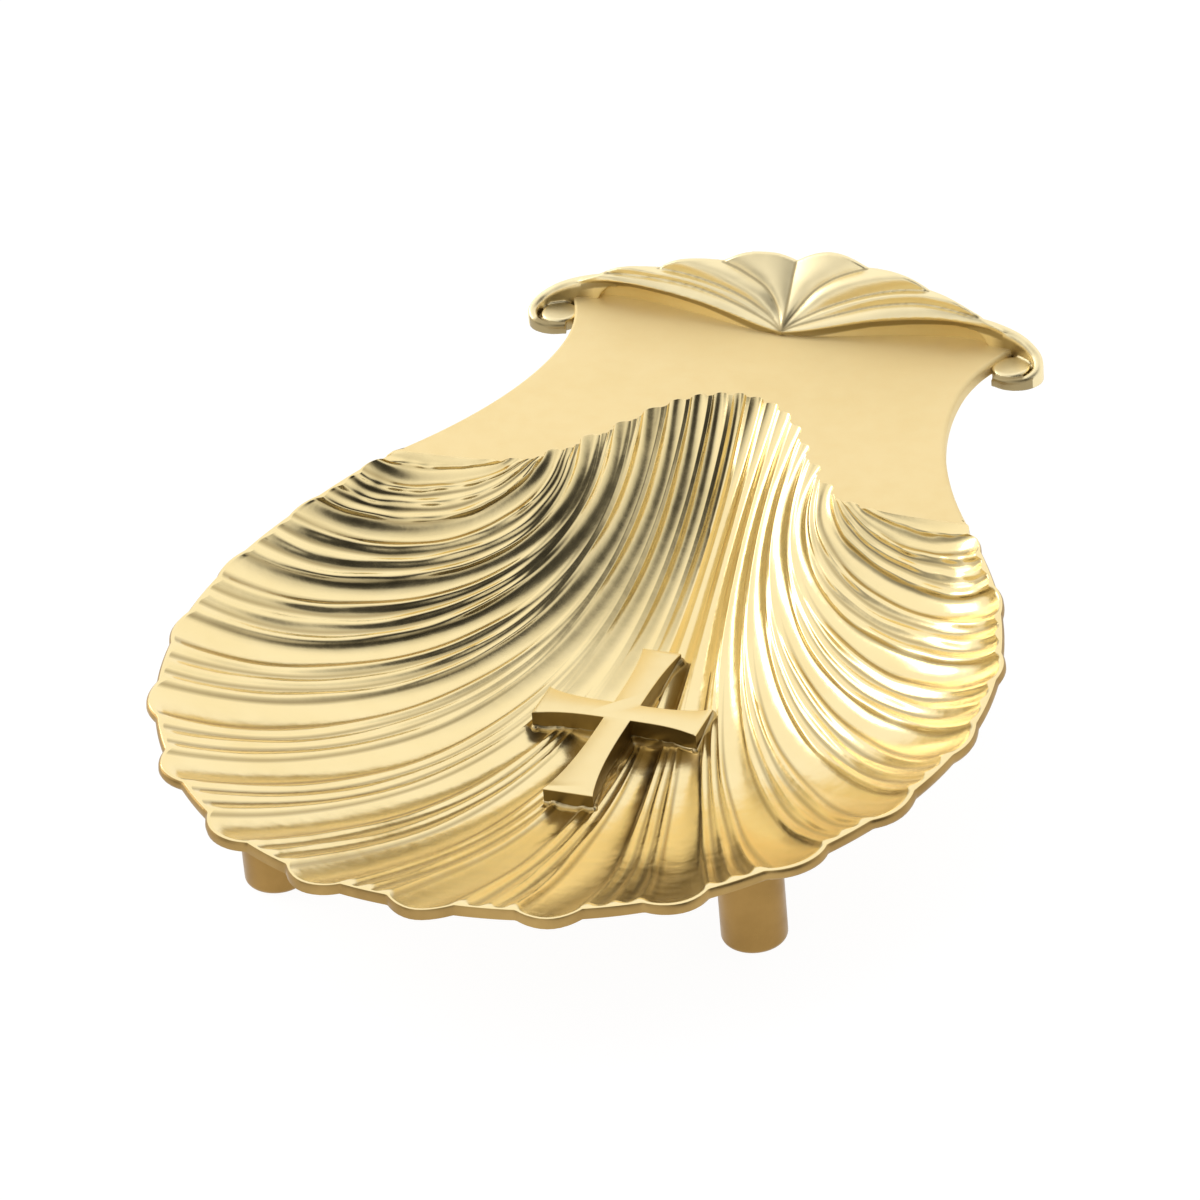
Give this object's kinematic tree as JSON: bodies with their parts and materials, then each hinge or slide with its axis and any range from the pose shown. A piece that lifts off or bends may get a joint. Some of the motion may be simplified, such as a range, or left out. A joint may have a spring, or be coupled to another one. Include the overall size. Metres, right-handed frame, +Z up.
{
  "type": "baptismal shell",
  "caption": "Gilt cast scallop dish with a flat neck plate, scrolled fan crest, small applied cross and peg feet, for pouring water at a baptism.",
  "frame": {"origin": "centre of the bounding box in plan, on the surface the feet stand on", "axes": "+Y from the front rim to the crest, +Z up, +X to the right as seen from the front"},
  "size_m": [0.1118, 0.1464, 0.0367],
  "materials": {
    "gilt_casting": "polished gilt on cast metal, satin on the neck plate",
    "gilt_cross": "satin gilt",
    "solder": "dull gilt over solder",
    "fastener": "plain",
    "foot": "satin gilt"
  },
  "bodies": {
    "root": {"shell_casting": "gilt_casting", "crest_casting": "gilt_casting", "cross": "gilt_cross", "cross_solder": "solder", "crest_rivet_left": "fastener", "crest_rivet_right": "fastener", "foot_front_left": "foot", "foot_front_right": "foot", "foot_rear": "foot", "stud_front_left": "fastener", "stud_front_right": "fastener", "stud_rear": "fastener"}
  },
  "joints": []
}
